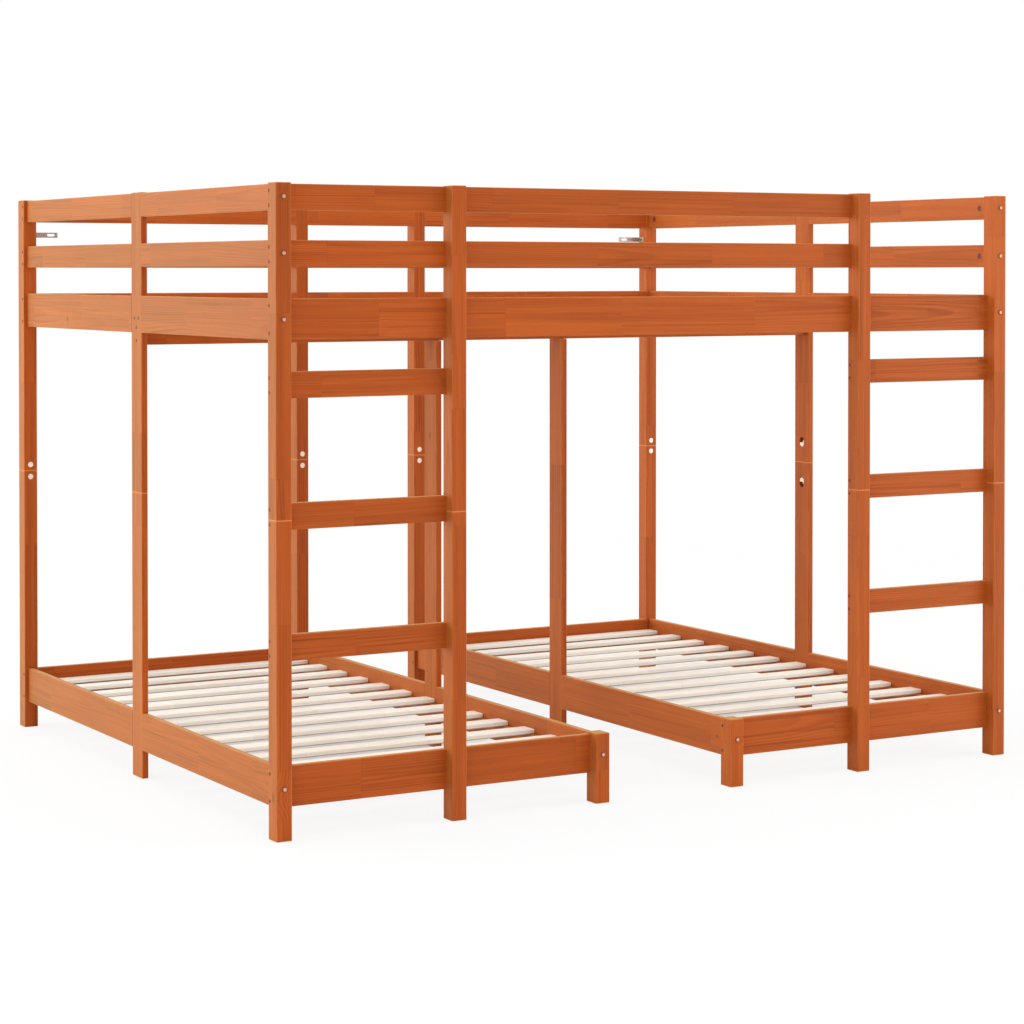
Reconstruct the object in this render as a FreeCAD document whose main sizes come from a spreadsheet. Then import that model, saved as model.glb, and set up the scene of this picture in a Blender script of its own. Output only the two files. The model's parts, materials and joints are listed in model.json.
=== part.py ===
import FreeCAD
import Part
import Sketcher
import os

# Triple bunk bed in stained pine: one wide upper bunk over two lower beds with an aisle between them.
# X runs along the front from left to right, Y from front to back, Z up from the floor.
# The origin is on the floor, midway between the corner posts both ways. Lengths are in millimetres.

SIZES = {
    # Outline of the frame, measured over the wood
    "frame_width": 2055,
    "frame_depth": 1690,
    "frame_height": 1440,
    "lower_bed_width": 855,
    "ladder_clear": 398.5,
    # Posts: square-edged, in a lower and an upper length
    "post_width": 37,
    "post_depth": 44,
    "lower_post_length": 702,
    "short_leg_length": 164,
    "plank_width": 66,
    # Boards between the posts, and their heights
    "board_thickness": 16,
    "guard_width": 58,
    "rung_width": 59,
    "bunk_rail_width": 90.5,
    "bed_rail_width": 91,
    "top_guard_drop": 2,
    "guard_gap": 65.5,
    "bunk_gap": 70.5,
    "bed_rail_top": 160,
    "rung_pitch": 288.7,
    "edge_radius": 2,
    # Beam, slats and the ledgers that carry them
    "beam_width": 76.5,
    "beam_thickness": 35,
    "slat_width": 50,
    "slat_thickness": 12,
    "slat_edge_radius": 3,
    "slat_drop": 32,
    "slat_clearance": 1,
    "lower_slat_count": 13,
    "upper_slat_count": 16,
    "ledger_thickness": 18,
    "ledger_width": 20,
    # Bolts and studs with their barrel nuts
    "bolt_diameter": 6,
    "bolt_head_diameter": 12,
    "bolt_head_rise": 3,
    "bolt_head_crown": 8,
    "bolt_socket_width": 4.5,
    "bolt_socket_depth": 1.6,
    "thread_past_nut": 8,
    "nut_diameter": 15,
    "nut_sink": 1,
    "nut_setback": 28,
    "rail_nut_length": 12,
    "post_nut_length": 28,
    "ladder_post_nut_offset": 42,
    "back_post_nut_offset": 16.5,
    "beam_stud_reach": 30,
    # Pockets in the side planks for half-round nuts
    "pocket_offset": 54,
    "pocket_width": 20,
    "pocket_length": 8,
    "pocket_depth": 13,
    "half_nut_rise": 2,
    "half_nut_length": 11,
    # Screws
    "screw_diameter": 4,
    "screw_head_diameter": 8,
    "screw_head_rise": 2,
    "screw_head_crown": 7,
    "screw_seat_depth": 2.5,
    "screw_bite": 40,
    "guard_screw_spacing": 32,
    "guard_screw_drop": 3,
    "rail_screw_spacing": 60,
    "beam_screw_spacing": 32,
    "beam_screw_drop": 11.5,
    "beam_pair_spacing": 26,
    "beam_pair_rise": 27.5,
    # Wall straps: steel angles on the inner sides of the back corner posts
    "strap_drop": 94,
    "strap_width": 14,
    "strap_thickness": 2,
    "strap_reach": 75,
    "strap_foot": 30,
    "strap_slot_width": 7,
    "strap_slot_length": 15,
    "strap_slot_margin": 11.5,
    "strap_screw_head": 8,
    "strap_screw_bite": 25,
    # Clearance around metal in drilled holes, and how far a drill runs on
    "hole_clearance": 0.2,
    "drill_overrun": 2,
}


class Size:
    """A length or a count, with the sheet expression that works it out."""

    def __init__(self, value, text):
        self.value = value
        self.text = text

    def __add__(self, other):
        return Size(self.value + other.value, "(%s + %s)" % (self.text, other.text))

    def __sub__(self, other):
        return Size(self.value - other.value, "(%s - %s)" % (self.text, other.text))

    def __neg__(self):
        return self * -1

    def __mul__(self, ratio):
        return Size(self.value * ratio, "(%s * %r)" % (self.text, ratio))

    def __truediv__(self, ratio):
        return Size(self.value / ratio, "(%s / %r)" % (self.text, ratio))


doc = FreeCAD.newDocument("TripleBunkBed")
sheet = doc.addObject("Spreadsheet::Sheet", "Sizes")


def read_sizes():
    """Writes each driving dimension to the sheet and returns them by name."""
    found = {}
    for row, (alias, number) in enumerate(SIZES.items(), 1):
        cell = "B%d" % row
        sheet.set("A%d" % row, alias)
        sheet.set(cell, str(number))
        sheet.setAlias(cell, alias)
        found[alias] = Size(number, "Sizes." + alias)
    doc.recompute()
    return found


size = read_sizes()
ZERO = Size(0, "0")
UNITS = {"X": FreeCAD.Vector(1, 0, 0), "Y": FreeCAD.Vector(0, 1, 0), "Z": FreeCAD.Vector(0, 0, 1)}
SECTION_PLANES = {"X": "YZ_Plane", "Y": "XZ_Plane", "Z": "XY_Plane"}

# Each node's pieces, the bars still to be eased, those that get holes, and the drills that make them
nodes = {}
bars = []
holed = set()
nuts = []
shank_drills = []
nut_drills = []


def bind(thing, prop, amount):
    thing.setExpression(prop, amount.text)


def put(thing, point):
    for axis, amount in zip("xyz", point):
        bind(thing, "Placement.Base." + axis, amount)


def shift(point, axis, amount):
    """The same point moved along one axis."""
    return tuple(p + amount if a == axis else p for a, p in zip("XYZ", point))


def origin_feature(body, role):
    return next(f for f in body.Origin.OriginFeatures if f.Role == role)


def centred_rectangle(sketch, width, height):
    """A rectangle about the sketch's origin, with both sides driven by the sheet."""
    corners = [FreeCAD.Vector(x, y, 0) for x, y in ((-1, -1), (1, -1), (1, 1), (-1, 1))]
    for start, end in zip(corners, corners[1:] + corners[:1]):
        sketch.addGeometry(Part.LineSegment(start, end), False)
    for side in range(4):
        sketch.addConstraint(Sketcher.Constraint("Coincident", side, 2, (side + 1) % 4, 1))
        level = "Horizontal" if side % 2 == 0 else "Vertical"
        sketch.addConstraint(Sketcher.Constraint(level, side))
    sketch.addConstraint(Sketcher.Constraint("Symmetric", 0, 1, 1, 2, -1, 1))
    across = sketch.addConstraint(Sketcher.Constraint("DistanceX", 0, 1, 0, 2, width.value))
    bind(sketch, "Constraints[%d]" % across, width)
    upright = sketch.addConstraint(Sketcher.Constraint("DistanceY", 1, 1, 1, 2, height.value))
    bind(sketch, "Constraints[%d]" % upright, height)


def bar(node, grain, extents, centre, radius, top_eased=False):
    """A planed bar about its centre, with its long edges eased, and those of its top where it shows."""
    name = "%s_%d" % (node, len(nodes.get(node, ())) + 1)
    body = doc.addObject("PartDesign::Body", name + "_body")
    sketch = body.newObject("Sketcher::SketchObject", name + "_section")
    sketch.AttachmentSupport = [(origin_feature(body, SECTION_PLANES[grain]), "")]
    sketch.MapMode = "FlatFace"
    across = [amount for axis, amount in zip("XYZ", extents) if axis != grain]
    centred_rectangle(sketch, *across)
    pad = body.newObject("PartDesign::Pad", name + "_length")
    pad.Profile = sketch
    pad.Midplane = True
    bind(pad, "Length", extents["XYZ".index(grain)])
    put(body, centre)
    bars.append((body, pad, grain, radius, top_eased))
    nodes.setdefault(node, []).append(body)
    return body


def holed_bar(node, *shape):
    """A bar that fixings pass through."""
    holed.add(bar(node, *shape).Name)


def slats(node, grain, step_axis, extents, first, run, count):
    """Equal slats side by side, spread over a run from the first slat's place."""
    body = bar(node, grain, extents, first, size["slat_edge_radius"])
    pattern = body.newObject("PartDesign::LinearPattern", body.Name + "_spread")
    pattern.Originals = [body.Group[-2]]
    pattern.Direction = (origin_feature(body, step_axis + "_Axis"), [""])
    bind(pattern, "Length", run)
    bind(pattern, "Occurrences", count)
    body.Tip = pattern
    bars[-1] = (body, pattern, grain, size["slat_edge_radius"], False)


def ease_edges():
    """Rounds the long edges of every bar, and the top edges of uprights where they show."""
    doc.recompute()
    for body, feature, grain, radius, top_eased in bars:
        solid = feature.Shape
        names = []
        for index, edge in enumerate(solid.Edges, 1):
            long_edge = edge.tangentAt(edge.FirstParameter).cross(UNITS[grain]).Length < 0.5
            on_top = edge.BoundBox.ZMin > solid.BoundBox.ZMax - radius.value
            if long_edge or (top_eased and on_top):
                names.append("Edge%d" % index)
        fillet = body.newObject("PartDesign::Fillet", body.Name + "_eased")
        fillet.Base = (feature, names)
        bind(fillet, "Radius", radius)
        body.Tip = fillet
    doc.recompute()


def rod(name, axis, way, start, length, diameter, kind="Part::Cylinder"):
    """A round bar from a point along an axis, way being 1 or -1."""
    thing = doc.addObject(kind, name)
    bind(thing, "Height", length)
    if kind == "Part::Cylinder":
        bind(thing, "Radius", diameter / 2)
    thing.Placement = FreeCAD.Placement(FreeCAD.Vector(), FreeCAD.Rotation(UNITS["Z"], UNITS[axis] * way))
    put(thing, start)
    return thing


def box(name, corner, extents):
    thing = doc.addObject("Part::Box", name)
    for side, amount in zip(("Length", "Width", "Height"), extents):
        bind(thing, side, amount)
    put(thing, corner)
    return thing


def shank(axis, way, start, length, diameter):
    """The plain length of a bolt, screw or stud, with the hole that it needs."""
    overrun = size["drill_overrun"]
    bore = diameter + size["hole_clearance"] * 2
    entry = shift(start, axis, overrun * -way)
    shank_drills.append(rod("drill", axis, way, entry, length + overrun * 2, bore))
    return rod("shank", axis, way, start, length, diameter)


def head(axis, way, seat, rise, diameter, crown):
    """A low head that tapers from its seat to its crown, standing out against the drive direction."""
    thing = rod("head", axis, -way, seat, rise, diameter, "Part::Cone")
    bind(thing, "Radius1", diameter / 2)
    bind(thing, "Radius2", crown / 2)
    return thing


def joined(base, tool, kind="Part::Fuse"):
    thing = doc.addObject(kind, "fixing")
    thing.Base = base
    thing.Tool = tool
    return thing


def bolt(axis, way, seat, length):
    """A button-head bolt with a hexagon socket."""
    rise = size["bolt_head_rise"]
    body = shank(axis, way, seat, length, size["bolt_diameter"])
    button = head(axis, way, seat, rise, size["bolt_head_diameter"], size["bolt_head_crown"])
    crown = shift(seat, axis, rise * -way)
    socket = rod("socket", axis, way, crown, size["bolt_socket_depth"], ZERO, "Part::Prism")
    socket.Polygon = 6
    bind(socket, "Circumradius", size["bolt_socket_width"] / 2)
    nodes.setdefault("side_rail_bolts", []).append(joined(joined(body, button), socket, "Part::Cut"))


def screw(axis, way, seat, length, *top):
    """A screw driven from its seat, with a head of the given rise, seat diameter and crown."""
    body = shank(axis, way, seat, length, size["screw_diameter"])
    nodes.setdefault("cross_rail_screws", []).append(joined(body, head(axis, way, seat, *top)))


def sunk_screw(axis, way, face, length):
    """A screw with its head sunk in a counterbore, the length being from the face to the tip."""
    overrun = size["drill_overrun"]
    depth = size["screw_seat_depth"]
    wide = size["screw_head_diameter"]
    entry = shift(face, axis, overrun * -way)
    bore = wide + size["hole_clearance"] * 2
    shank_drills.append(rod("counterbore", axis, way, entry, depth + overrun, bore))
    seat = shift(face, axis, depth * way)
    screw(axis, way, seat, length - depth, size["screw_head_rise"], wide, size["screw_head_crown"])


def strap_screw(way, seat):
    """A screw along X whose tapered head fills a countersink in the strap, flush with its face."""
    top = (size["strap_thickness"], size["screw_diameter"], size["strap_screw_head"])
    shank_drills.append(head("X", way, seat, *top))
    screw("X", way, seat, size["strap_screw_bite"], *top)


def stud(axis, middle, half_length):
    """A threaded stud that reaches equally both ways from its middle."""
    start = shift(middle, axis, -half_length)
    piece = shank(axis, 1, start, half_length * 2, size["bolt_diameter"])
    nodes.setdefault("threaded_studs", []).append(piece)


def barrel_nut(axis, way, mouth, length):
    """A barrel nut let into a face and sunk a little below it, way pointing into the wood."""
    overrun = size["drill_overrun"]
    sink = size["nut_sink"]
    bore = size["nut_diameter"] + size["hole_clearance"] * 2
    entry = shift(mouth, axis, overrun * -way)
    nut_drills.append(rod("nut_drill", axis, way, entry, sink + length + overrun, bore))
    nuts.append(rod("nut", axis, way, shift(mouth, axis, sink * way), length, size["nut_diameter"]))


def on_row(axis, along, line, height):
    return (along, line, height) if axis == "X" else (line, along, height)


def rail_nut(axis, along, line, height, face):
    """A barrel nut in a rail, sunk from the face on the side that face points to."""
    across = "Y" if axis == "X" else "X"
    mouth = on_row(axis, along, line + size["board_thickness"] / 2 * face, height)
    barrel_nut(across, -face, mouth, size["rail_nut_length"])


def end_fixing(axis, way, support, line, height, width, face):
    """Holds a rail's end from the far side of the post: one bolt front to back, two screws side to side."""
    place, half = support
    outer = place - half * way
    if axis == "Y":
        nut = place + half * way + size["nut_setback"] * way
        grip = half * 2 + size["nut_setback"] + size["thread_past_nut"]
        bolt(axis, way, on_row(axis, outer, line, height), grip)
        rail_nut(axis, nut, line, height, face)
        return
    wide = width is size["bunk_rail_width"] or width is size["bed_rail_width"]
    spacing = size["rail_screw_spacing"] if wide else size["guard_screw_spacing"]
    middle = height - size["guard_screw_drop"] if width is size["guard_width"] else height
    for level in (middle - spacing / 2, middle + spacing / 2):
        sunk_screw(axis, way, on_row(axis, outer, line, level), half * 2 + size["screw_bite"])


def through_fixing(axis, support, line, height, face):
    """Ties the two rails that meet at one support: a stud through it, with a nut in each rail."""
    place, half = support
    reach = half + size["nut_setback"]
    stud(axis, on_row(axis, place, line, height), reach + size["thread_past_nut"])
    for way in (-1, 1):
        rail_nut(axis, place + reach * way, line, height, face)


def rail_row(node, axis, supports, line, height, width, face):
    """Rails in line between their supports, each support being its middle and its half size."""
    for (near, near_half), (far, far_half) in zip(supports, supports[1:]):
        start = near + near_half
        end = far - far_half
        extents = on_row(axis, end - start, size["board_thickness"], width)
        holed_bar(node, axis, extents, on_row(axis, (start + end) / 2, line, height), size["edge_radius"])
    end_fixing(axis, 1, supports[0], line, height, width, face)
    end_fixing(axis, -1, supports[-1], line, height, width, face)
    for support in supports[1:-1]:
        through_fixing(axis, support, line, height, face)


# Stations along X: the middles of the corner, ladder and inner posts of the right half
CORNER_X = (size["frame_width"] - size["post_width"]) / 2
LADDER_X = CORNER_X - size["post_width"] - size["ladder_clear"]
INNER_X = (size["frame_width"] + size["post_width"]) / 2 - size["lower_bed_width"]
# Stations along Y: the middles of the back posts and of the boards that join them
POST_Y = (size["frame_depth"] - size["post_depth"]) / 2
ROW_Y = size["frame_depth"] / 2 - size["post_depth"] + size["board_thickness"] / 2
# A front post, a plank at mid depth and a back post, as a side rail meets them
SIDE_SUPPORTS = (
    (-POST_Y, size["post_depth"] / 2),
    (ZERO, size["plank_width"] / 2),
    (POST_Y, size["post_depth"] / 2),
)
# Faces that bound the two lower beds and the bunk
CLEAR_X = CORNER_X - size["board_thickness"] / 2
CLEAR_INNER_X = INNER_X + size["board_thickness"] / 2
CLEAR_Y = size["frame_depth"] / 2 - size["post_depth"]
# Heights of the rails' centre lines
TOP_GUARD_Z = size["frame_height"] - size["top_guard_drop"] - size["guard_width"] / 2
MID_GUARD_Z = TOP_GUARD_Z - size["guard_width"] - size["guard_gap"]
BUNK_RAIL_TOP = MID_GUARD_Z - size["guard_width"] / 2 - size["bunk_gap"]
BUNK_RAIL_Z = BUNK_RAIL_TOP - size["bunk_rail_width"] / 2
BED_RAIL_Z = size["bed_rail_top"] - size["bed_rail_width"] / 2
# The slats' undersides, which the ledgers and the beam meet
BED_SLAT_BOTTOM = size["bed_rail_top"] - size["slat_drop"] - size["slat_thickness"]
BUNK_SLAT_BOTTOM = BUNK_RAIL_TOP - size["slat_drop"] - size["slat_thickness"]
BEAM_BOTTOM = BUNK_SLAT_BOTTOM - size["beam_width"]

SIDES = (("left", -1), ("right", 1))


def post_station(place):
    return (place, size["post_width"] / 2)


def nut_pocket(way, mouth, side):
    """A round-ended pocket let into a plank along X, with a half-round nut in its end by the joint."""
    overrun = size["drill_overrun"]
    wide = size["pocket_width"]
    depth = size["pocket_depth"] + overrun
    entry = shift(mouth, "X", overrun * -way)
    far = shift(entry, "Z", size["pocket_length"] * side)
    for end in (entry, far):
        nut_drills.append(rod("pocket_end", "X", way, end, depth, wide))
    corner = shift(entry if side > 0 else far, "Y", wide / -2)
    corner = corner if way > 0 else shift(corner, "X", -depth)
    nut_drills.append(box("pocket", corner, (depth, wide, size["pocket_length"])))
    half_nut(way, shift(mouth, "X", size["nut_sink"] * way), side)


def half_nut(way, start, side):
    """A nut shaped as the rounded end of its pocket, cut off flat on the side away from the joint."""
    wide = size["pocket_width"] - size["hole_clearance"] * 2
    length = size["half_nut_length"]
    rise = size["half_nut_rise"]
    disc = rod("nut_disc", "X", way, start, length, wide)
    corner = shift(start, "Z", rise if side > 0 else -wide - rise)
    corner = shift(corner, "Y", wide / -2)
    corner = corner if way > 0 else shift(corner, "X", -length)
    nuts.append(joined(disc, box("nut_waste", corner, (length, wide, wide)), "Part::Cut"))


def joint_stud(x, y, offset):
    """The stud through the joint of an upright's two lengths, just past the nuts at the given offset."""
    stud("Z", (x, y, size["lower_post_length"]), offset + size["thread_past_nut"])


def post(node, x, y, inward, nut_offset):
    """A full-height post in two lengths that meet square, with its barrel nuts on the inward face."""
    lower = size["lower_post_length"]
    upper = size["frame_height"] - lower
    section = (size["post_width"], size["post_depth"])
    radius = size["edge_radius"]
    holed_bar(node + "_lower", "Z", section + (lower,), (x, y, lower / 2), radius)
    holed_bar(node + "_upper", "Z", section + (upper,), (x, y, lower + upper / 2), radius, True)
    joint_stud(x, y, nut_offset)
    for side in (-1, 1):
        mouth = (x, y + size["post_depth"] / 2 * inward, lower + nut_offset * side)
        barrel_nut("Y", -inward, mouth, size["post_nut_length"])


def plank(node, x, inward):
    """A full-height plank at mid depth in two lengths, with its nuts on the inward face."""
    lower = size["lower_post_length"]
    upper = size["frame_height"] - lower
    section = (size["board_thickness"], size["plank_width"])
    radius = size["edge_radius"]
    offset = size["pocket_offset"]
    holed_bar(node + "_lower", "Z", section + (lower,), (x, ZERO, lower / 2), radius)
    holed_bar(node + "_upper", "Z", section + (upper,), (x, ZERO, lower + upper / 2), radius, True)
    joint_stud(x, ZERO, offset)
    for side in (-1, 1):
        mouth = (x + size["board_thickness"] / 2 * inward, ZERO, lower + offset * side)
        nut_pocket(-inward, mouth, side)


def uprights():
    """The eight posts, the two short legs, the two side planks and the two inner supports."""
    for side_name, side in SIDES:
        ladder_offset = size["ladder_post_nut_offset"]
        back_offset = size["back_post_nut_offset"]
        post("front_%s_corner_post" % side_name, CORNER_X * side, -POST_Y, 1, ladder_offset)
        post("front_%s_ladder_post" % side_name, LADDER_X * side, -POST_Y, 1, ladder_offset)
        post("back_%s_corner_post" % side_name, CORNER_X * side, POST_Y, -1, back_offset)
        post("back_%s_inner_post" % side_name, INNER_X * side, POST_Y, -1, back_offset)
        leg = (size["post_width"], size["post_depth"], size["short_leg_length"])
        leg_centre = (INNER_X * side, -POST_Y, size["short_leg_length"] / 2)
        holed_bar("%s_bed_short_leg" % side_name, "Z", leg, leg_centre, size["edge_radius"], True)
        plank("%s_mid_plank" % side_name, CORNER_X * side, -side)
        support = (size["board_thickness"], size["plank_width"], BEAM_BOTTOM)
        support_centre = (INNER_X * side, ZERO, BEAM_BOTTOM / 2)
        support_node = "%s_bed_inner_support" % side_name
        holed_bar(support_node, "Z", support, support_centre, size["edge_radius"])
        stud("Z", (INNER_X * side, ZERO, BEAM_BOTTOM), size["beam_stud_reach"])


def guards_and_bunk_rails():
    """Two guard rails and a wide bunk rail on all four sides, open above the right ladder."""
    left_corner, left_ladder = post_station(-CORNER_X), post_station(-LADDER_X)
    right_corner, right_ladder = post_station(CORNER_X), post_station(LADDER_X)
    front = (left_corner, left_ladder, right_ladder, right_corner)
    back = (left_corner, post_station(-INNER_X), post_station(INNER_X), right_corner)
    levels = (
        ("top_guard", TOP_GUARD_Z, size["guard_width"], front[:-1]),
        ("mid_guard", MID_GUARD_Z, size["guard_width"], front[:-1]),
        ("bunk_rail", BUNK_RAIL_Z, size["bunk_rail_width"], front),
    )
    for level_name, height, width, front_supports in levels:
        rail_row("front_" + level_name, "X", front_supports, -ROW_Y, height, width, 1)
        rail_row("back_" + level_name, "X", back, ROW_Y, height, width, 1)
        for side_name, side in SIDES:
            line = CORNER_X * side
            rail_row("%s_%s" % (side_name, level_name), "Y", SIDE_SUPPORTS, line, height, width, -side)


def bed_rails():
    """The four rails round each lower bed."""
    width = size["bed_rail_width"]
    for side_name, side in SIDES:
        node = side_name + "_bed_"
        front = [post_station(x * side) for x in (CORNER_X, LADDER_X, INNER_X)][::-side]
        back = [post_station(x * side) for x in (CORNER_X, INNER_X)][::-side]
        rail_row(node + "front_rail", "X", front, -ROW_Y, BED_RAIL_Z, width, 1)
        rail_row(node + "back_rail", "X", back, ROW_Y, BED_RAIL_Z, width, 1)
        rail_row(node + "outer_rail", "Y", SIDE_SUPPORTS, CORNER_X * side, BED_RAIL_Z, width, -side)
        rail_row(node + "inner_rail", "Y", SIDE_SUPPORTS, INNER_X * side, BED_RAIL_Z, width, side)


def ladders():
    """Three rungs between the corner post and the ladder post on each side of the front."""
    for side_name, side in SIDES:
        supports = [post_station(x * side) for x in (CORNER_X, LADDER_X)][::-side]
        for step, rung_name in enumerate(("low", "middle", "high"), 1):
            height = size["bed_rail_top"] + size["rung_pitch"] * step - size["rung_width"] / 2
            node = "%s_ladder_%s_rung" % (side_name, rung_name)
            rail_row(node, "X", supports, -ROW_Y, height, size["rung_width"], 1)


def centre_beam():
    """The beam under the middle of the bunk, screwed through both side planks."""
    extents = (CLEAR_X * 2, size["beam_thickness"], size["beam_width"])
    middle = BUNK_SLAT_BOTTOM - size["beam_width"] / 2
    holed_bar("centre_beam", "X", extents, (ZERO, ZERO, middle), size["edge_radius"])
    outer = CORNER_X + size["board_thickness"] / 2
    column = middle - size["beam_screw_drop"]
    spots = [(ZERO, column + size["beam_screw_spacing"] / 2 * step) for step in (-1, 1)]
    row = middle + size["beam_pair_rise"]
    spots += [(size["beam_pair_spacing"] / 2 * step, row) for step in (-1, 1)]
    for side in (-1, 1):
        for across, height in spots:
            face = (outer * side, across, height)
            sunk_screw("X", -side, face, size["board_thickness"] + size["screw_bite"])


def slats_and_ledgers():
    """Slats side by side on ledgers: across each lower bed, and front to back in two rows on the bunk."""
    gap = size["slat_clearance"]
    ledger = size["ledger_thickness"]
    half_slat = size["slat_width"] / 2
    lower_run = (CLEAR_Y - gap) * 2 - size["slat_width"]
    bed_clear = CLEAR_X - CLEAR_INNER_X
    bed_height = BED_SLAT_BOTTOM + size["slat_thickness"] / 2
    ledger_height = BED_SLAT_BOTTOM - size["ledger_width"] / 2
    for side_name, side in SIDES:
        slat = (bed_clear - gap * 2, size["slat_width"], size["slat_thickness"])
        first = ((CLEAR_X + CLEAR_INNER_X) / 2 * side, half_slat + gap - CLEAR_Y, bed_height)
        slats(side_name + "_bed_slats", "X", "Y", slat, first, lower_run, size["lower_slat_count"])
        for place in (CLEAR_X - ledger / 2, CLEAR_INNER_X + ledger / 2):
            extents = (ledger, (CLEAR_Y - gap) * 2, size["ledger_width"])
            bar("slat_ledgers", "Y", extents, (place * side, ZERO, ledger_height), size["edge_radius"])
    slat = (size["slat_width"], CLEAR_Y - gap * 2, size["slat_thickness"])
    upper_run = (CLEAR_X - gap) * 2 - size["slat_width"]
    bunk_height = BUNK_SLAT_BOTTOM + size["slat_thickness"] / 2
    for row in (-1, 1):
        first = (half_slat + gap - CLEAR_X, CLEAR_Y / 2 * row, bunk_height)
        slats("bunk_slats", "Y", "X", slat, first, upper_run, size["upper_slat_count"])
        place = (CLEAR_Y - ledger / 2) * row
        extents = ((CLEAR_X - gap) * 2, ledger, size["ledger_width"])
        centre = (ZERO, place, BUNK_SLAT_BOTTOM - size["ledger_width"] / 2)
        bar("slat_ledgers", "X", extents, centre, size["edge_radius"])


def wall_straps():
    """A steel angle on the inner side of each back corner post, with a slotted arm along the wall."""
    back = size["frame_depth"] / 2
    height = size["frame_height"] - size["strap_drop"]
    thickness = size["strap_thickness"]
    low = height - size["strap_width"] / 2
    foot_length = size["strap_foot"] - thickness
    slot = size["strap_slot_width"]
    cut = thickness + size["drill_overrun"] * 2
    post_face = CORNER_X - size["post_width"] / 2
    free_end = post_face - size["strap_reach"]
    for side in (-1, 1):
        arm_start = free_end if side > 0 else -post_face
        arm_size = (size["strap_reach"], thickness, size["strap_width"])
        arm = box("strap_arm", (arm_start, back - thickness, low), arm_size)
        foot_start = post_face - thickness if side > 0 else -post_face
        foot_corner = (foot_start, back - size["strap_foot"], low)
        foot = box("strap_foot", foot_corner, (thickness, foot_length, size["strap_width"]))
        strap = joined(arm, foot)
        nodes.setdefault("wall_straps", []).append(strap)
        holed.add(strap.Name)
        strap_screw(side, (post_face * side, back - size["strap_foot"] / 2, height))
        near = free_end + size["strap_slot_margin"]
        far = near + size["strap_slot_length"]
        entry = back - thickness - size["drill_overrun"]
        for place in (near, far):
            shank_drills.append(rod("slot_end", "Y", 1, (place * side, entry, height), cut, slot))
        corner = (near if side > 0 else -far, entry, height - slot / 2)
        shank_drills.append(box("strap_slot", corner, (size["strap_slot_length"], cut, slot)))


def drilled(piece, drills):
    """The piece with every drill that reaches it taken away, or the piece itself where none does."""
    reach = [d for d in drills if d.Shape.BoundBox.intersect(piece.Shape.BoundBox)]
    if not reach:
        return piece
    tool = reach[0]
    if len(reach) > 1:
        tool = doc.addObject("Part::MultiFuse", "holes")
        tool.Shapes = reach
    return joined(piece, tool, "Part::Cut")


def drill_pieces():
    """Drills the wood and the straps for shanks and nuts, and the nuts for the shanks through them."""
    for node, pieces in nodes.items():
        nodes[node] = [drilled(p, shank_drills + nut_drills) if p.Name in holed else p for p in pieces]
    nodes["barrel_nuts"] = [drilled(nut, shank_drills) for nut in nuts]
    doc.recompute()


def name_nodes():
    """Gives each node one labelled object, which groups its pieces where it has several."""
    named = []
    for node, pieces in nodes.items():
        thing = pieces[0]
        if len(pieces) > 1:
            thing = doc.addObject("Part::Compound", node + "_group")
            thing.Links = pieces
        thing.Label = node
        named.append(thing)
    doc.recompute()
    return named


def write_parts(named):
    """Checks every object, then writes each node to its own file."""
    for thing in doc.Objects:
        if "Invalid" in thing.State or "Error" in thing.State:
            raise RuntimeError("%s failed: %s" % (thing.Label, thing.State))
    for thing in named:
        if thing.Shape.isNull() or not thing.Shape.isValid() or not thing.Shape.Solids:
            raise RuntimeError("%s has no valid solid" % thing.Label)
    os.makedirs("parts", exist_ok=True)
    for thing in named:
        thing.Shape.exportStep("parts/%s.step" % thing.Label)


uprights()
guards_and_bunk_rails()
bed_rails()
ladders()
centre_beam()
slats_and_ledgers()
wall_straps()
ease_edges()
drill_pieces()
write_parts(name_nodes())
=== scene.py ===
import json
import math
import random

import bmesh
import bpy
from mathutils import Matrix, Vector


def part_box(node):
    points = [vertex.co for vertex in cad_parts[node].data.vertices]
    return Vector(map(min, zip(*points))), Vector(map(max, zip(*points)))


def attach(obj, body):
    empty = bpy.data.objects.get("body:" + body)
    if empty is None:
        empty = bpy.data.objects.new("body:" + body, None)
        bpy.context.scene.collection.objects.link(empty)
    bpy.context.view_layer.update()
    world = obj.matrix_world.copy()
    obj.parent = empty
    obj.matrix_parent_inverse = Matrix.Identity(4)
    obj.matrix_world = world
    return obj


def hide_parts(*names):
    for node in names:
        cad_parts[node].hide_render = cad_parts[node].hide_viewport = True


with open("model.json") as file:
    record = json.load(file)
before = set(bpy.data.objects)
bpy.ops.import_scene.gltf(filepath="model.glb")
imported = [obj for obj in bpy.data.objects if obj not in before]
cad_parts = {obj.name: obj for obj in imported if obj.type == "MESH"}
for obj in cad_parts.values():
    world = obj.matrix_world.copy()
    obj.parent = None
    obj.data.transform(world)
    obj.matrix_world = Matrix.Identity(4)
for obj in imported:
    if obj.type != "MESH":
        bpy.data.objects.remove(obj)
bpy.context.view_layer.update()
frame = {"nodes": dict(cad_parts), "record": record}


# Shader sums and nodes

MIX_FACTOR, MIX_FIRST, MIX_SECOND, MIX_RESULT = 0, 6, 7, 2


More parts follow.
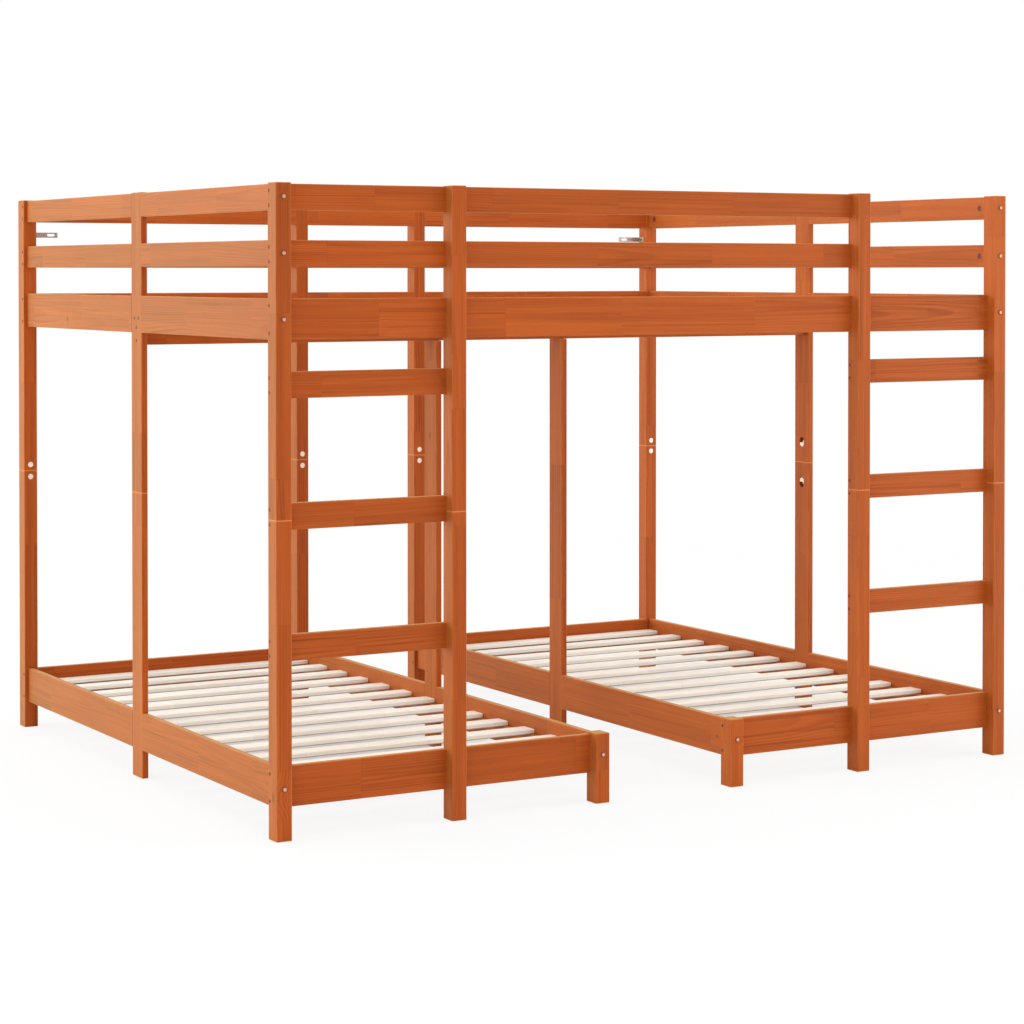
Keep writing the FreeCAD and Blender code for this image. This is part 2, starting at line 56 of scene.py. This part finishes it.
class Wire:
    """One output of a node. A sum written on wires adds its Math nodes."""

    def __init__(self, shader, socket):
        self.shader = shader
        self.socket = socket

    def math(self, operation, *values):
        return self.shader.add("Math", {"operation": operation}, dict(enumerate(values)))

    def __add__(self, other):
        return self.math("ADD", self, other)

    def __sub__(self, other):
        return self.math("SUBTRACT", self, other)

    def __rsub__(self, other):
        return self.math("SUBTRACT", other, self)

    def __mul__(self, other):
        return self.math("MULTIPLY", self, other)

    def __truediv__(self, other):
        return self.math("DIVIDE", self, other)

    def __abs__(self):
        return self.math("ABSOLUTE", self)

    __radd__ = __add__
    __rmul__ = __mul__

    def floor(self):
        return self.math("FLOOR", self)

    def fraction(self):
        return self.math("FRACT", self)

    def root(self):
        return self.math("SQRT", self)

    def most(self, other):
        return self.math("MAXIMUM", self, other)

    def least(self, other):
        return self.math("MINIMUM", self, other)

    def rise(self, low, high):
        """0 below low, 1 above high and a smooth rise between."""
        values = {"Value": self, "From Min": low, "From Max": high}
        return self.shader.add("MapRange", {"interpolation_type": "SMOOTHSTEP"}, values)

    def fall(self, low, high):
        """1 below low, 0 above high and a smooth fall between."""
        return 1 - self.rise(low, high)

    def between(self, low, high):
        """Low where the wire is 0, high where it is 1."""
        return self * (high - low) + low

    def output(self, name):
        """Another output of the same node."""
        return Wire(self.shader, self.socket.node.outputs[name])

    def parts(self):
        """The three parts of a vector or a colour."""
        split = self.shader.add("SeparateXYZ", {}, {0: self})
        return [split.output(axis) for axis in "XYZ"]


class Shader:
    """The nodes of a material or the world."""

    def __init__(self, owner):
        owner.use_nodes = True
        self.owner = owner
        self.nodes = owner.node_tree.nodes
        self.links = owner.node_tree.links
        self.nodes.clear()

    def add(self, kind, settings, values, output=0):
        """A new node, with its settings first and then its sockets' values or links."""
        node = self.nodes.new("ShaderNode" + kind)
        for name, setting in settings.items():
            setattr(node, name, setting)
        for name, value in values.items():
            if isinstance(value, Wire):
                self.links.new(value.socket, node.inputs[name])
            else:
                node.inputs[name].default_value = value
        return Wire(self, node.outputs[output]) if len(node.outputs) else None

    def attribute(self, name):
        return self.add("Attribute", {"attribute_name": name}, {}, "Vector")

    def vector(self, x, y, z):
        return self.add("CombineXYZ", {}, {0: x, 1: y, 2: z})

    def shift(self, first, second):
        return self.add("VectorMath", {"operation": "ADD"}, {0: first, 1: second})

    def scale(self, vector, factors):
        return self.add("VectorMath", {"operation": "MULTIPLY"}, {0: vector, 1: factors})

    def dot(self, first, second):
        return self.add("VectorMath", {"operation": "DOT_PRODUCT"}, {0: first, 1: second}, "Value")

    def noise(self, vector, detail, roughness=0.5):
        values = {"Vector": vector, "Scale": 1, "Detail": detail, "Roughness": roughness}
        return self.add("TexNoise", {}, values)

    def grain(self, spot, scale, detail, roughness, rise):
        """A noise as a mask from 0 to 1, with its own scale each way."""
        return self.noise(self.scale(spot, scale), detail, roughness).rise(*rise)

    def mix(self, share, first, second, blend="MIX"):
        settings = {"data_type": "RGBA", "blend_type": blend}
        values = {MIX_FACTOR: share, MIX_FIRST: first, MIX_SECOND: second}
        return self.add("Mix", settings, values, MIX_RESULT)

    def bump(self, height, depth):
        return self.add("Bump", {}, {"Height": height, "Distance": depth, "Strength": 1})

    def finish(self, surface, kind="Material"):
        self.add("Output" + kind, {}, {"Surface": surface})
        return self.owner


def linear(red, green, blue):
    """A colour as the shader takes it, from its 0 to 255 values, by the sRGB curve."""
    shares = [value / 255 for value in (red, green, blue)]
    bends = [s / 12.92 if s <= 0.04045 else ((s + 0.055) / 1.055) ** 2.4 for s in shares]
    return (*bends, 1)


# Lengths of pine joined end to end: sizes in metres, scales per metre, jumps from board to board

BLOCK_LENGTH = 0.34
BLOCK_WANDER = 0.16
BLOCK_JUMP = 9
WANDER_SCALE = 2.3
WANDER_JUMP = (60, 40)
CHANCE_JUMP = (91, 57)
GRAIN_JUMP = (7, 5, 3)
FINGER_LENGTH = 0.005
FINGER_PITCH = 0.0045
JOINT_EDGE = (0.00025, 0.0005)


class Board:
    """What a board's vertices say: its own coordinates, half sizes, grain direction and seed."""

    def __init__(self, s):
        self.place = s.attribute("place")
        self.along, self.across, self.through = self.place.parts()
        self.half_length, self.half_width, self.half_depth = s.attribute("half").parts()
        self.seed = s.attribute("seed")
        self.first, self.second, self.third = self.seed.parts()
        self.axis = s.attribute("axis")


def joined_lengths(s, board):
    """The joints, straight on wide faces and fingered on narrow ones, and each length's own chance."""
    wander_along = board.along * WANDER_SCALE + board.first * WANDER_JUMP[0]
    wander = s.noise(s.vector(wander_along, board.second * WANDER_JUMP[1], 0), 0) * BLOCK_WANDER
    finger = abs((board.through / FINGER_PITCH).fraction() - 0.5) * FINGER_LENGTH
    length = (board.along + wander + finger) / BLOCK_LENGTH + board.third * BLOCK_JUMP
    near_joint = (0.5 - abs(length.fraction() - 0.5)) * BLOCK_LENGTH
    cell = s.vector(length.floor(), board.first * CHANCE_JUMP[0], board.second * CHANCE_JUMP[1])
    chance = s.add("TexWhiteNoise", {}, {"Vector": cell}, "Color")
    return near_joint.fall(*JOINT_EDGE), chance


# Knots of pine

KNOT_SPACING = (0.37, 0.12)
KNOT_JUMP = (37, 23, 0)
KNOT_LUCK = (0.84, 0.86)
KNOT_MARGIN = (0.012, 0.013)
KNOT_RADIUS = (0.002, 0.0065)
KNOT_FLATTENING = 0.4
KNOT_EDGE = (-0.0015, 0.0025)
RAGGED_SCALE = (160, 160, 160)
RAGGED_DEPTH = (-0.002, 0.002)
SWIRL_REACH = 0.03
SWIRL_DEPTH = 0.013


def knots(s, board, spot):
    """Small knots clear of the board's edges, the distance from each, and the grain's swirl round it."""
    cell = s.scale(s.vector(board.along, board.across, 0), (*(1 / gap for gap in KNOT_SPACING), 0))
    cell = s.shift(cell, s.scale(board.seed, KNOT_JUMP))
    core = s.add("TexVoronoi", {"voronoi_dimensions": "2D"}, {"Vector": cell, "Scale": 1}, "Position")
    away = s.add("VectorMath", {"operation": "SUBTRACT"}, {0: cell, 1: core})
    along, across, _ = s.scale(away, (*KNOT_SPACING, 0)).parts()
    luck, size, _ = core.output("Color").parts()
    inside = (board.half_width - abs(board.across - across)).rise(*KNOT_MARGIN)
    present = luck.rise(*KNOT_LUCK) * inside
    ragged = s.noise(s.scale(spot, RAGGED_SCALE), 2).between(*RAGGED_DEPTH)
    distance = (along * along * KNOT_FLATTENING + across * across).root() + ragged
    past_edge = distance - size.between(*KNOT_RADIUS)
    knot = past_edge.fall(*KNOT_EDGE) * present
    swirl = past_edge.fall(0, SWIRL_REACH) * present * SWIRL_DEPTH
    return knot, distance, swirl


# Growth rings of pine, round a pith that lies outside the board

RING_WIDTH = 0.0046
RING_TAPER = (-0.025, 0.025)
PITH_ACROSS = (-0.065, 0.065)
PITH_BEHIND = (0.018, 0.068)
BEND_SCALE = (2.1, 8, 8)
BEND_DEPTH = 0.012
LATE_START = (0.2, 0.9)
LATE_END = (0.92, 1)
BAND_SCALE = 0.31
BAND_JUMP = 40
BAND_RISE = (0.3, 0.7)


def growth_rings(s, board, spot, chance, swirl):
    """The dark late wood of each ring, and the bands of stronger and weaker rings."""
    tone, tilt, depth = chance.parts()
    pith_across = board.across - tone.between(*PITH_ACROSS)
    pith_through = board.through + depth.between(*PITH_BEHIND)
    bend = s.noise(s.scale(spot, BEND_SCALE), 2) * BEND_DEPTH
    taper = board.along * tilt.between(*RING_TAPER)
    radius = (pith_across * pith_across + pith_through * pith_through).root() + bend + taper + swirl
    ring = radius / RING_WIDTH
    grade = ring.fraction()
    late = grade.rise(*LATE_START) * grade.fall(*LATE_END)
    band = s.noise(s.vector(ring * BAND_SCALE, tone * BAND_JUMP, 0), 1).rise(*BAND_RISE)
    return late, band


# Ends of pine, painted shade on its undersides, and its worn edges and post tips with painted highlights

EDGE_REACH = 0.0035
TIP_REACH = 0.0016
TIP_WEAR_AND_HIGHLIGHT = 0.6
END_FACING = (0.6, 0.9)
DOWN_FACING = (-0.35, -0.03)
WEAR_AND_HIGHLIGHT_FACING = (-0.5, 0)
# Noise of the rubbed edges, which are partly wear and partly a painted highlight
WEAR_AND_HIGHLIGHT_GRAIN = {"scale": (14, 160, 160), "detail": 3, "roughness": 0.5, "rise": (0.25, 0.75)}


def ends_wear_and_painted_light(s, board, spot):
    """End grain, painted shade on faces that look down, rubbed edges that are partly a painted
    highlight, and a painted highlight at the tips of posts where two lengths meet.
    """
    normal = s.add("NewGeometry", {}, {}, "Normal")
    tilt_up = normal.parts()[2]
    end = abs(s.dot(normal, board.axis)).rise(*END_FACING)
    # Painted shade on faces that look down
    below = tilt_up.fall(*DOWN_FACING)
    past_side = (abs(board.across) - board.half_width).rise(-EDGE_REACH, 0)
    past_face = (abs(board.through) - board.half_depth).rise(-EDGE_REACH, 0)
    past_tip = abs(board.along) - board.half_length
    # Edges rubbed lighter where they do not face down, partly wear and partly a painted highlight
    wear_and_highlight_mask = s.grain(spot, **WEAR_AND_HIGHLIGHT_GRAIN) * tilt_up.rise(*WEAR_AND_HIGHLIGHT_FACING)
    rub_and_highlight = (past_side * past_face + past_tip.rise(-EDGE_REACH, 0) * TIP_WEAR_AND_HIGHLIGHT) * wear_and_highlight_mask
    # A painted highlight at the tips of upright boards, where two post lengths meet
    upright = board.axis.parts()[2]
    painted_tip_highlight = past_tip.rise(-TIP_REACH, -TIP_REACH / 2) * upright
    return end, below, rub_and_highlight.least(1), painted_tip_highlight


# The finish of pine, each part as a share of the colour, the relief or the roughness

STREAK = {"scale": (1.3, 55, 55), "detail": 4, "roughness": 0.6, "rise": (0.32, 0.7)}
VEIN = {"scale": (1.1, 190, 190), "detail": 3, "roughness": 0.6, "rise": (0.5, 0.72)}
BLOTCH = {"scale": (5, 11, 11), "detail": 3, "roughness": 0.5, "rise": (0.3, 0.7)}
FIBRE_SCALE = (22, 1100, 1100)
FIBRE_DARK = (-0.12, 0.12)
VEIN_DARK = (0.3, 1.7)
BAND_DARK = (0.35, 1)
RING_DARK = (0.4, 1.6)
KNOT_DARK = (0.45, 0.75)
KNOT_RING = 0.0019
BLOTCH_SHARE = 0.35
RUB_AND_HIGHLIGHT_SHARE = 0.55
# Share of the painted highlight at post tips
TIP_HIGHLIGHT_SHARE = 0.8
JOINT_SHARE = 0.3
END_SHARE = 0.6
BOARD_SHADE = (0.91, 1)
FIBRE_DEPTH = 0.00015
LATE_RELIEF = 0.5
FIBRE_RELIEF = 0.6
KNOT_RELIEF = 0.4
JOINT_RELIEF = 0.8
LATE_ROUGHNESS = 0.07
END_ROUGHNESS = 0.2
FIBRE_ROUGHNESS = (-0.05, 0.05)
SHEEN_ROUGHNESS = 0.5
SHEEN_TINT = (0.95, 0.9, 0.3, 1)


def pine(name, colours, streaks, veins, rings, underside_shade, roughness, gloss, sheen):
    """Pine in finger-jointed lengths, with growth rings, streaks, small knots, worn edges and post tips
    with painted highlights, and painted shade on faces that look down.
    """
    s = Shader(bpy.data.materials.new(name))
    paint = {title: linear(*values) for title, values in colours.items()}
    board = Board(s)
    joint, chance = joined_lengths(s, board)
    tone, tilt, depth = chance.parts()
    spot = s.shift(board.place, s.scale(chance, GRAIN_JUMP))
    knot, from_knot, swirl = knots(s, board, spot)
    late, band = growth_rings(s, board, spot, chance, swirl)
    end, below, rub_and_highlight, painted_tip_highlight = ends_wear_and_painted_light(s, board, spot)
    fibre = s.noise(s.scale(spot, FIBRE_SCALE), 2)

    dark = s.grain(spot, **STREAK) * streaks
    dark += s.grain(spot, **VEIN) * depth.between(*VEIN_DARK) * veins
    dark += late * band.between(*BAND_DARK) * tilt.between(*RING_DARK) * rings
    dark += fibre.between(*FIBRE_DARK)
    colour = s.mix(dark, paint["light"], paint["dark"])
    layers = (
        (s.grain(spot, **BLOTCH) * BLOTCH_SHARE, "blotch"),
        # Rubbed edges, partly a painted highlight, then a painted highlight at the tips of upright
        # boards
        (rub_and_highlight * RUB_AND_HIGHLIGHT_SHARE, "edge"),
        (painted_tip_highlight * TIP_HIGHLIGHT_SHARE, "edge"),
        (knot * (from_knot / KNOT_RING).fraction().between(*KNOT_DARK), "knot"),
        (joint * JOINT_SHARE, "knot"),
        (end * END_SHARE, "end"),
        # Painted shade on the faces that look down
        (below * underside_shade, "underside_shade"),
    )
    for mask, title in layers:
        colour = s.mix(mask, colour, paint[title])
    shade = (tone + board.first).between(*BOARD_SHADE)
    colour = s.mix(1, colour, s.vector(shade, shade, shade), "MULTIPLY")

    relief = late * LATE_RELIEF + fibre * FIBRE_RELIEF - knot * KNOT_RELIEF - joint * JOINT_RELIEF
    rough = late * LATE_ROUGHNESS + end * END_ROUGHNESS + fibre.between(*FIBRE_ROUGHNESS)
    values = {
        "Base Color": colour,
        "Roughness": rough + roughness,
        "Specular IOR Level": gloss,
        "Sheen Weight": sheen,
        "Sheen Roughness": SHEEN_ROUGHNESS,
        "Sheen Tint": SHEEN_TINT,
        "Normal": s.bump(relief, FIBRE_DEPTH),
    }
    return s.finish(s.add("BsdfPrincipled", {}, values))


STAIN = {
    "light": (191, 88, 26),
    "dark": (140, 51, 8),
    "blotch": (171, 73, 16),
    # Worn edges, partly a painted highlight, and the painted highlight at post tips
    "edge": (222, 130, 66),
    "knot": (92, 34, 10),
    "end": (134, 56, 16),
    # Painted shade on faces that look down
    "underside_shade": (96, 36, 8),
}
# The last share is the painted shade on faces that look down
STAIN_STRENGTH = {"streaks": 0.5, "veins": 0.5, "rings": 0.38, "underside_shade": 0.2}
STAIN_SURFACE = {"roughness": 0.42, "gloss": 0.14, "sheen": 0.38}
NATURAL = {
    "light": (254, 250, 240),
    "dark": (240, 226, 202),
    "blotch": (251, 243, 228),
    # Worn edges, partly a painted highlight, and the painted highlight at post tips
    "edge": (254, 250, 242),
    "knot": (176, 128, 84),
    "end": (232, 212, 180),
    # Painted shade on faces that look down
    "underside_shade": (98, 80, 62),
}
# The last share is the painted shade on faces that look down
NATURAL_STRENGTH = {"streaks": 0.35, "veins": 0.1, "rings": 0.3, "underside_shade": 0.65}
NATURAL_SURFACE = {"roughness": 0.6, "gloss": 0.25, "sheen": 0}


# Zinc plate, with painted highlights and painted reflections on some fixings

CLOUD_SCALE = (180, 180, 180)
CLOUD_RISE = (0.35, 0.7)
MARK_SCALE = (900, 2600, 900)
MARK_DEPTH = 0.00003
ZINC = {
    "bright": (232, 224, 214),
    "dull": (200, 193, 186),
    # Painted highlights, each less metallic: white on the nuts at the post joints, warm on the bolts
    "white": (253, 234, 216),
    "warm": (246, 206, 176),
    # Brown nuts and screws, and a painted reflection of the wood on the straps and the bolts' rims
    "brown": (118, 58, 32),
}
UNMETALLIC = {"white": 0.75, "warm": 0.5, "brown": 0.8}
ZINC_ROUGHNESS = 0.3
CLOUD_ROUGHNESS = 0.14
MARK_ROUGHNESS = 0.06
BROWN_ROUGHNESS = 0.25


def zinc(name):
    """Bright zinc plate with faint turning marks, brown where it is marked so, in part a painted
    reflection of the wood, and whiter or warmer and less metallic as a painted highlight.
    """
    s = Shader(bpy.data.materials.new(name))
    paint = {title: linear(*values) for title, values in ZINC.items()}
    spot = s.add("TexCoord", {}, {}, "Object")
    brown, white, warm = s.attribute("metal_tints_and_painted_light").parts()
    cloud = s.noise(s.scale(spot, CLOUD_SCALE), 3)
    marks = s.noise(s.scale(spot, MARK_SCALE), 2)
    colour = s.mix(cloud.rise(*CLOUD_RISE), paint["bright"], paint["dull"])
    colour = s.mix(white, colour, paint["white"])
    colour = s.mix(warm, colour, paint["warm"])
    colour = s.mix(brown, colour, paint["brown"])
    plain = (brown * UNMETALLIC["brown"]).most(white * UNMETALLIC["white"])
    rough = cloud * CLOUD_ROUGHNESS + marks * MARK_ROUGHNESS + brown * BROWN_ROUGHNESS
    values = {
        "Base Color": colour,
        "Metallic": 1 - plain.most(warm * UNMETALLIC["warm"]),
        "Roughness": rough + ZINC_ROUGHNESS,
        "Normal": s.bump(marks, MARK_DEPTH),
    }
    return s.finish(s.add("BsdfPrincipled", {}, values))


MATERIALS = {
    "stained_pine": pine("stained_pine", STAIN, **STAIN_STRENGTH, **STAIN_SURFACE),
    "plain_pine": pine("plain_pine", NATURAL, **NATURAL_STRENGTH, **NATURAL_SURFACE),
    "zinc_steel": zinc("zinc_steel"),
}


# The pieces, each a welded copy of its CAD node

WELD = 1e-6
SMOOTH_ANGLE = math.radians(40)
# Brown shares of fixings; on the straps the brown is a painted reflection of the wood
BROWN_AND_PAINTED_REFLECTION = {"cross_rail_screws": 1, "barrel_nuts": 1, "wall_straps": 0.35}
RIM_START = 0.4
RIM_FULL = 0.85
JOINT_REACH = 0.1

post_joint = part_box("front_left_corner_post_lower")[1].z
slots = {part["node"]: part["material_slot"] for part in frame["record"]["subparts"]}


def islands(shape):
    """The separate solids of a shape, each as a list of its vertices."""
    for vertex in shape.verts:
        vertex.tag = False
    for start in shape.verts:
        if start.tag:
            continue
        start.tag = True
        found = [start]
        for vertex in found:
            for edge in vertex.link_edges:
                other = edge.other_vert(vertex)
                if not other.tag:
                    other.tag = True
                    found.append(other)
        yield found


def mark_grain(shape, node):
    """Writes each board's own coordinates, half sizes, grain direction and seed on its vertices."""
    titles = ("place", "half", "seed", "axis")
    layers = {title: shape.verts.layers.float_vector.new(title) for title in titles}
    dice = random.Random(node)
    for board in islands(shape):
        low = [min(vertex.co[i] for vertex in board) for i in range(3)]
        high = [max(vertex.co[i] for vertex in board) for i in range(3)]
        middle = [(a + b) / 2 for a, b in zip(low, high)]
        order = sorted(range(3), key=lambda i: low[i] - high[i])
        half = Vector((high[i] - low[i]) / 2 for i in order)
        seed = Vector(dice.random() for _ in range(3))
        axis = Vector(float(i == order[0]) for i in range(3))
        for vertex in board:
            vertex[layers["place"]] = Vector(vertex.co[i] - middle[i] for i in order)
            vertex[layers["half"]] = half
            vertex[layers["seed"]] = seed
            vertex[layers["axis"]] = axis


def mark_metal_tints_and_painted_light(shape, node):
    """Writes how brown, white and warm each fixing is: the nuts at the post joints are white, a painted
    highlight, the other nuts and the screws brown, the straps a little brown, and the bolts warm, a
    painted highlight, with brown rims."""
    layer = shape.verts.layers.float_vector.new("metal_tints_and_painted_light")
    bolts = node == "side_rail_bolts"
    for piece in islands(shape):
        middle = sum((vertex.co for vertex in piece), Vector()) / len(piece)
        joint_nut = node == "barrel_nuts" and abs(middle.z - post_joint) < JOINT_REACH
        brown = 0 if joint_nut else BROWN_AND_PAINTED_REFLECTION.get(node, 0)
        spans = [math.hypot(vertex.co.x - middle.x, vertex.co.z - middle.z) for vertex in piece]
        reach = max(spans)
        for vertex, span in zip(piece, spans):
            # The bolts' brown rims are a painted reflection of the wood
            past_start = (span / reach - RIM_START) / (RIM_FULL - RIM_START)
            rim = min(max(past_start, 0), 1) if bolts else 0
            # White on the joint nuts and warm on the bolts are painted highlights
            vertex[layer] = (max(brown, rim), joint_nut, bolts)


def dress(node):
    """A welded, smoothly shaded copy of a CAD node with its finish, which takes the node's place."""
    slot = slots[node]
    shape = bmesh.new()
    shape.from_mesh(frame["nodes"][node].data)
    bmesh.ops.remove_doubles(shape, verts=shape.verts, dist=WELD)
    mark = mark_metal_tints_and_painted_light if slot == "zinc_steel" else mark_grain
    mark(shape, node)
    for face in shape.faces:
        face.smooth = True
        face.material_index = 0
    for edge in shape.edges:
        edge.smooth = edge.calc_face_angle(0) < SMOOTH_ANGLE
    mesh = bpy.data.meshes.new(node + "_dressed")
    shape.to_mesh(mesh)
    shape.free()
    mesh.materials.append(MATERIALS[slot])
    piece = bpy.data.objects.new(node + "_dressed", mesh)
    bpy.context.scene.collection.objects.link(piece)
    weights = piece.modifiers.new("weights", "WEIGHTED_NORMAL")
    weights.keep_sharp = True
    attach(piece, "root")
    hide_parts(node)


for node in sorted(frame["nodes"]):
    dress(node)


# Floor, with the soft edges of the shade below the lower beds

FLOOR_RADIUS = 7
FLOOR_SIDES = 64
FLOOR_DROP = 0.0005
FLOOR_FADE = (2.2, 6.5)
FLOOR_PAINT = (0.86, 0.86, 0.86, 1)
FLOOR_GLOW = 0.85
WHITE = (1, 1, 1, 1)
SHADE_SLANT = 0.578
SHADE_DEPTH = 0.8
SHADE_NEAR = (-0.45, -0.3)
SHADE_FAR = (1.25, 1.5)
LEFT_SHADE = {"left": (-0.78, -0.65), "slanted": (-0.42, -0.32), "right": (-0.1, 0.1)}
RIGHT_SHADE = {"left": (0.45, 0.6), "slanted": (0.9, 1), "right": (1.1, 1.3)}

bed_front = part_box("front_left_corner_post_lower")[0].y


def bed_shade(x, slant, edges):
    """Where one lower bed shades the floor, between its left, right and slanted edges."""
    return x.rise(*edges["left"]) * slant.fall(*edges["slanted"]) * x.fall(*edges["right"])


def floor_material():
    """Pale floor that glows to the camera, but less where the lower beds shade it."""
    s = Shader(bpy.data.materials.new("studio_floor"))
    spot = s.add("TexCoord", {}, {}, "Object")
    x, y, _ = spot.parts()
    slant = x - (y - bed_front) * SHADE_SLANT
    beds = bed_shade(x, slant, LEFT_SHADE).most(bed_shade(x, slant, RIGHT_SHADE))
    shade = y.rise(*SHADE_NEAR) * y.fall(*SHADE_FAR) * beds
    reach = s.add("VectorMath", {"operation": "LENGTH"}, {0: spot}, "Value")
    seen = s.add("LightPath", {}, {}, "Is Camera Ray")
    paint = s.add("BsdfDiffuse", {}, {"Color": FLOOR_PAINT})
    glow = s.add("Emission", {}, {"Color": WHITE, "Strength": 1})
    glow_share = seen * (1 - shade * SHADE_DEPTH) * FLOOR_GLOW
    lit = s.add("MixShader", {}, {0: glow_share, 1: paint, 2: glow})
    clear = s.add("BsdfTransparent", {}, {})
    return s.finish(s.add("MixShader", {}, {0: reach.rise(*FLOOR_FADE), 1: lit, 2: clear}))


def floor():
    """A round floor, a hair below the feet, that fades out before its edge."""
    shape = bmesh.new()
    bmesh.ops.create_circle(shape, cap_ends=True, segments=FLOOR_SIDES, radius=FLOOR_RADIUS)
    bmesh.ops.translate(shape, verts=shape.verts, vec=(0, 0, -FLOOR_DROP))
    mesh = bpy.data.meshes.new("studio_floor")
    shape.to_mesh(mesh)
    shape.free()
    mesh.materials.append(floor_material())
    piece = bpy.data.objects.new("studio_floor", mesh)
    bpy.context.scene.collection.objects.link(piece)


# Backdrop and lamps

AMBIENT = 0.95
BACKDROP_SIDE = (-0.5, 0.866, 0)
ROOM_TURN = (-0.5, 0.4)
ROOM_SHADE = 0.55
BED_MIDDLE = (0, 0, 0.7)


def backdrop():
    """White to the camera and in reflections, where only the room facing the backdrop is dimmer."""
    world = bpy.data.worlds.new("studio")
    bpy.context.scene.world = world
    s = Shader(world)
    path = s.add("LightPath", {}, {}, "Is Camera Ray")
    glossy = path.output("Is Glossy Ray")
    seen = path.most(glossy).most(path.output("Is Transmission Ray"))
    heading = s.add("TexCoord", {}, {}, "Generated")
    room = glossy * s.dot(heading, BACKDROP_SIDE).fall(*ROOM_TURN) * ROOM_SHADE
    white = s.add("Background", {}, {"Color": WHITE, "Strength": 1 - room})
    light = s.add("Background", {}, {"Color": WHITE, "Strength": AMBIENT})
    s.finish(s.add("MixShader", {}, {0: seen, 1: light, 2: white}), "World")


def lamp(name, place, target, size, power):
    """A square soft light at a place, turned to its target, in metres and watts."""
    data = bpy.data.lights.new(name, "AREA")
    data.size = size
    data.energy = power
    heading = Vector(target) - Vector(place)
    piece = bpy.data.objects.new(name, data)
    piece.location = place
    piece.rotation_euler = heading.to_track_quat("-Z", "Y").to_euler()
    piece.visible_camera = False
    bpy.context.scene.collection.objects.link(piece)


floor()
backdrop()
lamp("left_softbox", place=(-8, 6, 3.2), target=BED_MIDDLE, size=5, power=450)
lamp("right_softbox", place=(5, -3.5, 1.3), target=BED_MIDDLE, size=3.5, power=108)
lamp("top_softbox", place=(-0.8, -0.5, 5), target=(-0.8, -0.5, 0), size=3, power=62)


# Camera, placed from pixels of the photograph and tipped a little, so that it needs less shift

PICTURE = 1024
CENTRE_X = 524.5
HORIZON_Y = 272.6
FOCAL_PIXELS = 2569
SENSOR = 36
TIP = math.radians(1)
CAMERA_PLACE = (-3.3585, -5.943, 1.243)
VIEW_ACROSS = 0.5015
VIEW_DEEP = 0.8652

camera_data = bpy.data.cameras.new("camera")
camera_data.sensor_width = SENSOR
camera_data.lens = FOCAL_PIXELS / PICTURE * SENSOR
camera_data.shift_x = (PICTURE / 2 - CENTRE_X) / PICTURE
camera_data.shift_y = (HORIZON_Y - PICTURE / 2 + FOCAL_PIXELS * math.tan(TIP)) / PICTURE
camera = bpy.data.objects.new("camera", camera_data)
camera.location = CAMERA_PLACE
camera.rotation_euler = (math.radians(90) - TIP, 0, -math.atan2(VIEW_ACROSS, VIEW_DEEP))
bpy.context.scene.collection.objects.link(camera)
bpy.context.scene.camera = camera
bpy.context.scene.view_settings.view_transform = "Standard"
